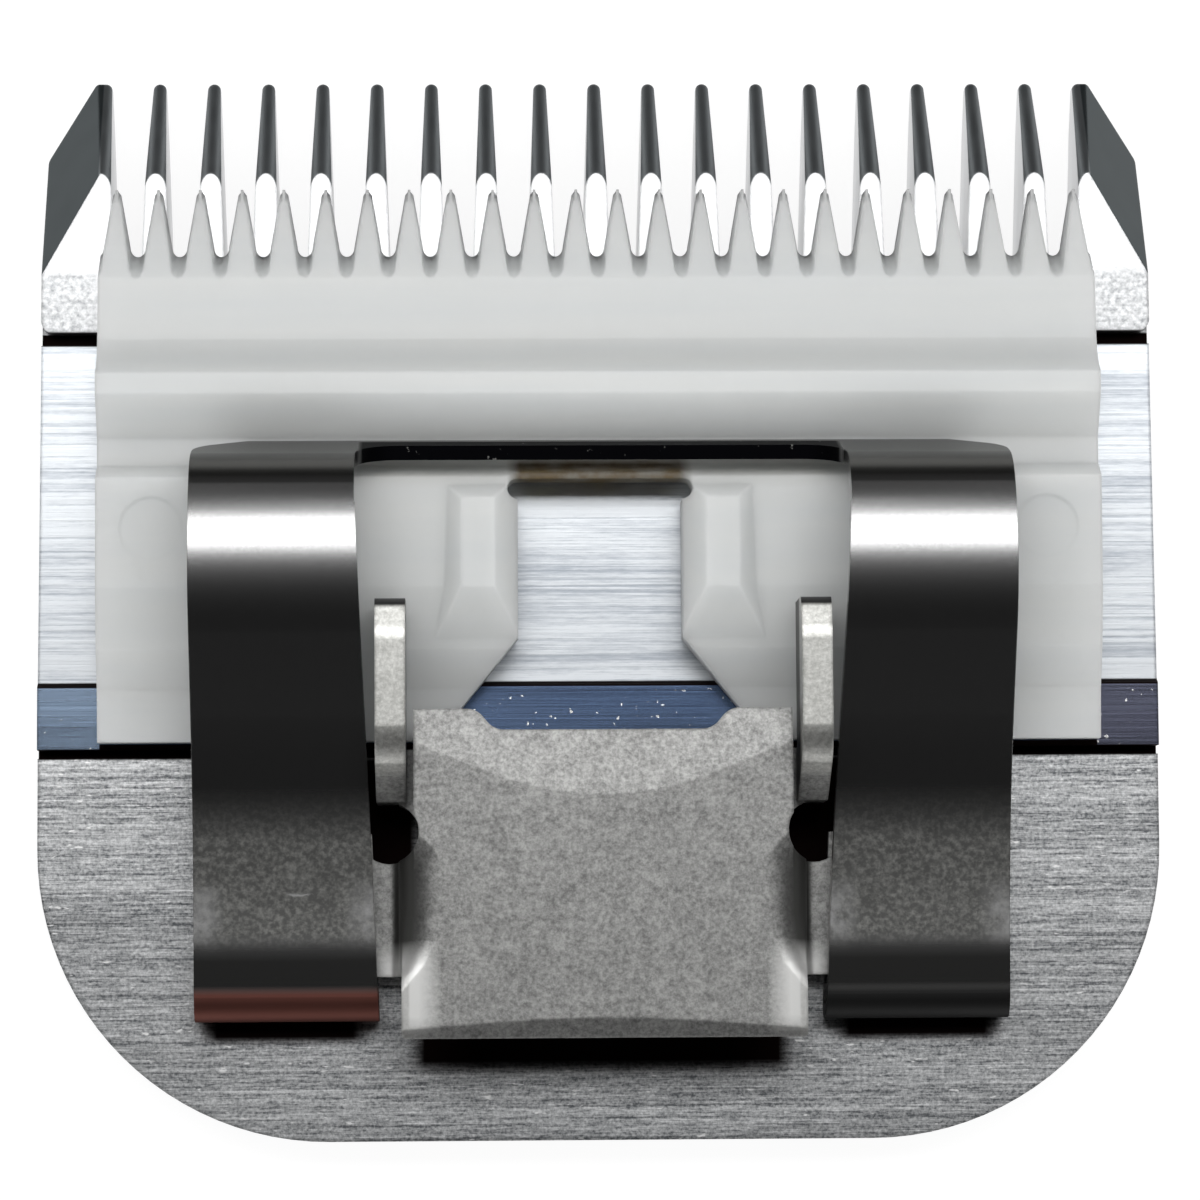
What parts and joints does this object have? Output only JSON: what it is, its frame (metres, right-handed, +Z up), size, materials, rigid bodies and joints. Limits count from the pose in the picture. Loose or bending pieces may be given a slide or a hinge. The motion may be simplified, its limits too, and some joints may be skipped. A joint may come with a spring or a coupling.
{
  "type": "hair clipper blade",
  "caption": "Detachable hair clipper blade set: ground steel comb with a sliding ceramic cutter, a looped flat spring and a folded socket for the clipper's tongue.",
  "frame": {"origin": "centre of the bounding box, on the comb's flat underside", "axes": "+Y towards the tooth tips, X along the row of teeth and the cutter's stroke, +Z up from the comb's underside"},
  "size_m": [0.049, 0.047, 0.0112],
  "materials": {
    "ground_steel": "surface-ground and brushed carbon steel",
    "white_ceramic": "moulded and sintered white ceramic, satin",
    "spring_steel": "rolled spring strip, polished",
    "tumbled_steel": "tumbled matte sheet",
    "screw_steel": "plain machine screw"
  },
  "bodies": {
    "comb_assembly": {"comb_blade": "ground_steel", "tension_spring": "spring_steel", "blade_socket": "tumbled_steel", "clamp_screws": "screw_steel"},
    "cutter": {"cutter_blade": "white_ceramic"}
  },
  "joints": [
    {"name": "cutter_stroke", "type": "slide", "parent": "comb_assembly", "child": "cutter", "axis": [1, 0, 0], "range_m": [-0.0012, 0.0012]}
  ]
}
